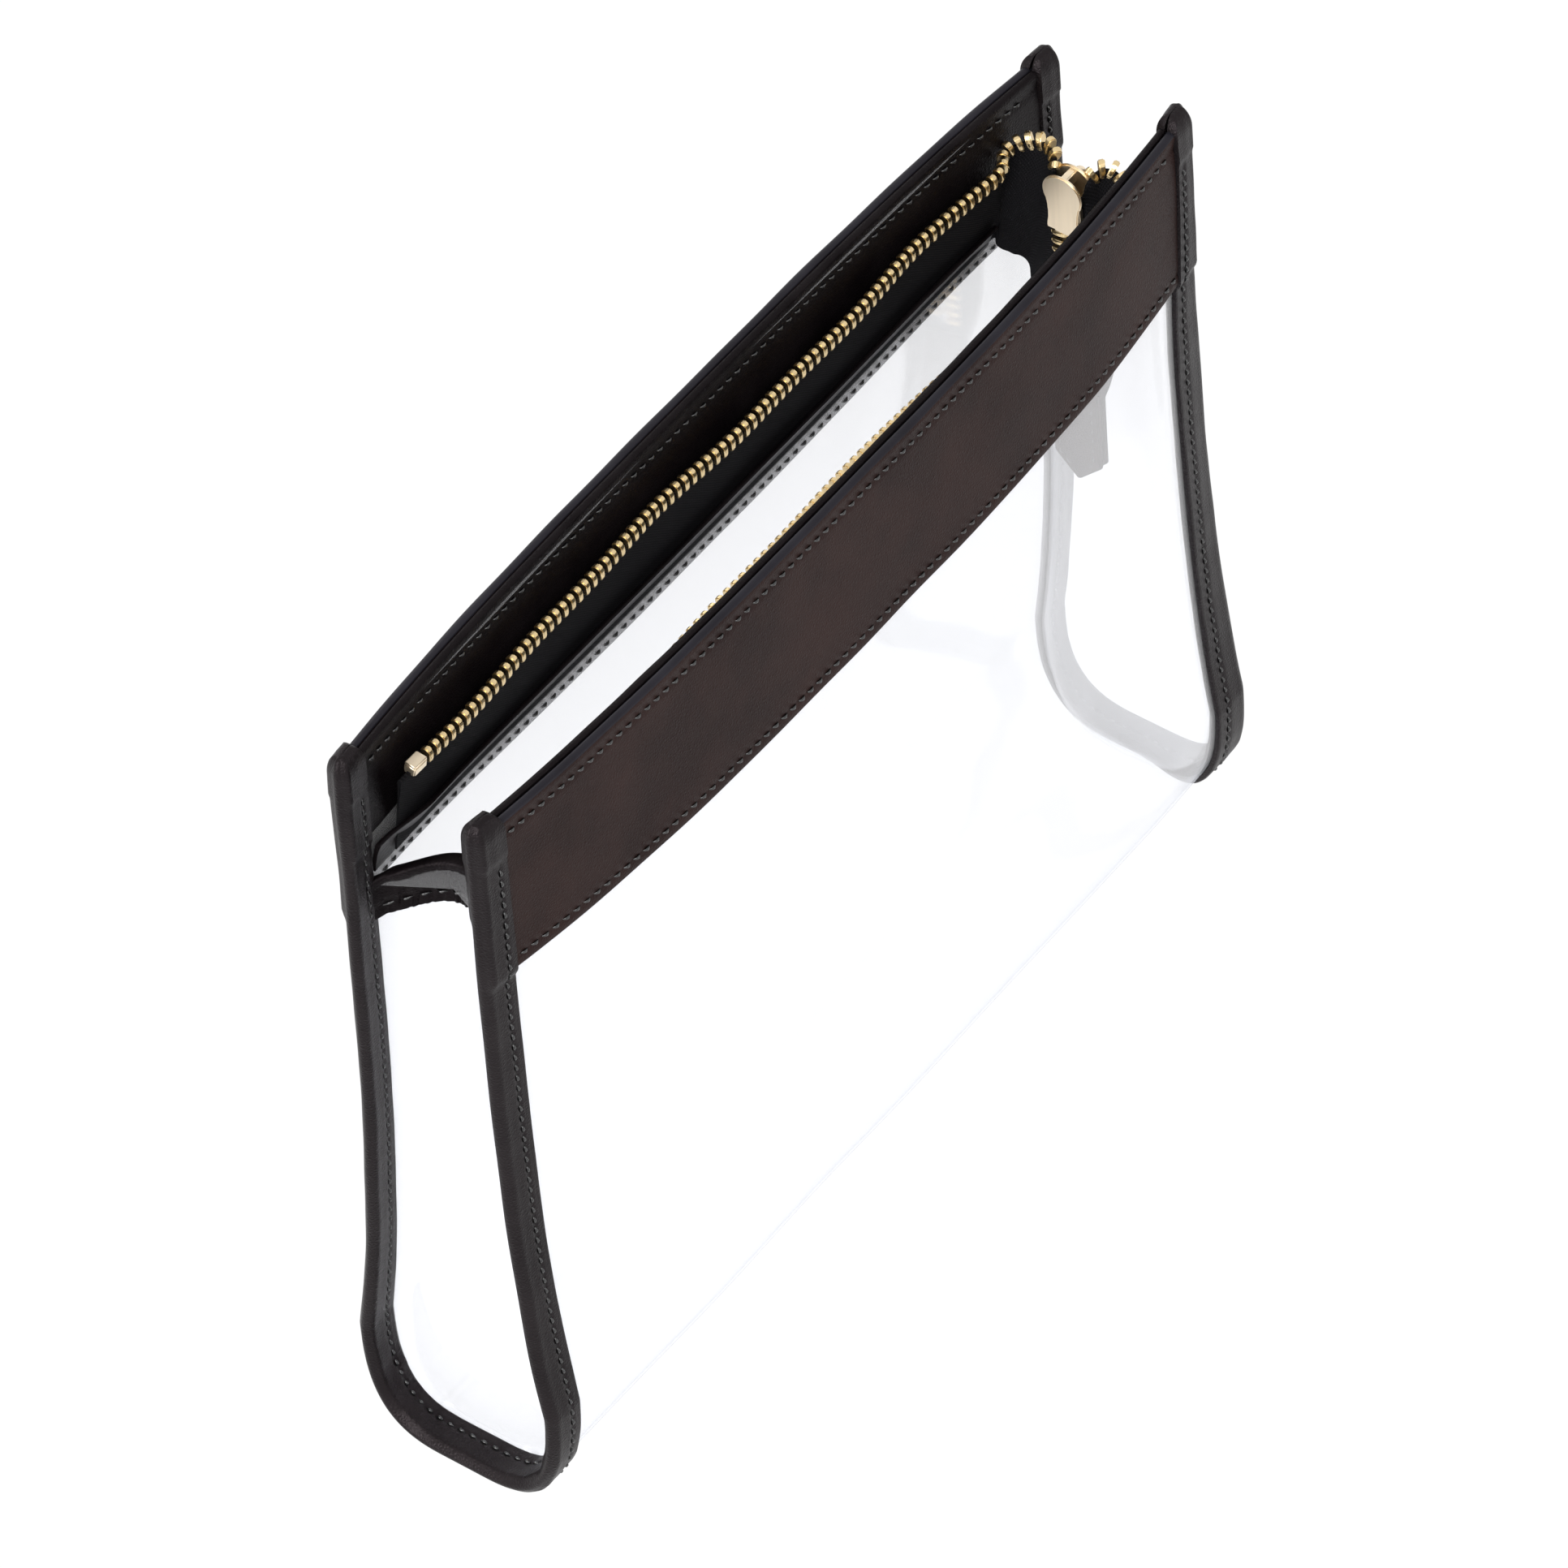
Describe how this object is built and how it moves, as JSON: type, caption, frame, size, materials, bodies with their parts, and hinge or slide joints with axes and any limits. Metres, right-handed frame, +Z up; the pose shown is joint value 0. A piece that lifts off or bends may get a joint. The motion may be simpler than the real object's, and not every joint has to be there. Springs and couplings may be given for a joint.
{
  "type": "makeup bag",
  "caption": "Open-topped clear pouch with leather-bound ends, leather bands along the mouth, and a metal zip whose slider hangs at one end on a closed tail.",
  "frame": {"origin": "middle of the base, at the height of the surface that the bag stands on", "axes": "+X along the bag to the end where the slider hangs, +Y to the back wall, +Z up through the open mouth"},
  "size_m": [0.2566, 0.0541, 0.203],
  "materials": {
    "clear_vinyl": "glossy clear flexible vinyl",
    "brown_leather": "fine-grained brown-black leather with a soft sheen",
    "black_leather": "smooth black leather with a fine grain and rolled edges",
    "woven_tape": "matt black herringbone zip tape",
    "zip_brass": "pale brass, brushed on the slider's plates"
  },
  "bodies": {
    "bag": {"body_sheet": "clear_vinyl", "gusset_left": "clear_vinyl", "gusset_cap_left": "black_leather", "binding_left": "black_leather", "gusset_right": "clear_vinyl", "gusset_cap_right": "black_leather", "binding_right": "black_leather", "outer_band_front": "brown_leather", "inner_facing_front": "black_leather", "tape_cover_front": "black_leather", "zipper_tape_front": "woven_tape", "zipper_chain_front": "zip_brass", "zipper_stop_front": "zip_brass", "outer_band_back": "brown_leather", "inner_facing_back": "black_leather", "tape_cover_back": "black_leather", "zipper_tape_back": "woven_tape", "zipper_chain_back": "zip_brass", "zipper_stop_back": "zip_brass", "tail_tab_inner": "black_leather", "tail_tab_outer": "black_leather"},
    "slider": {"slider": "zip_brass"},
    "pull": {"pull_tab": "zip_brass"}
  },
  "joints": [
    {"name": "slider_travel", "type": "slide", "parent": "bag", "child": "slider", "axis": [0, 0, -1], "range_m": [0, 0.042], "deforming": ["zipper_chain_front", "zipper_chain_back"]},
    {"name": "pull_swing", "type": "hinge", "parent": "slider", "child": "pull", "pos_m": [0.1097, 0, 0.1852], "axis": [0, -1, 0], "range_deg": [0, 178]}
  ]
}
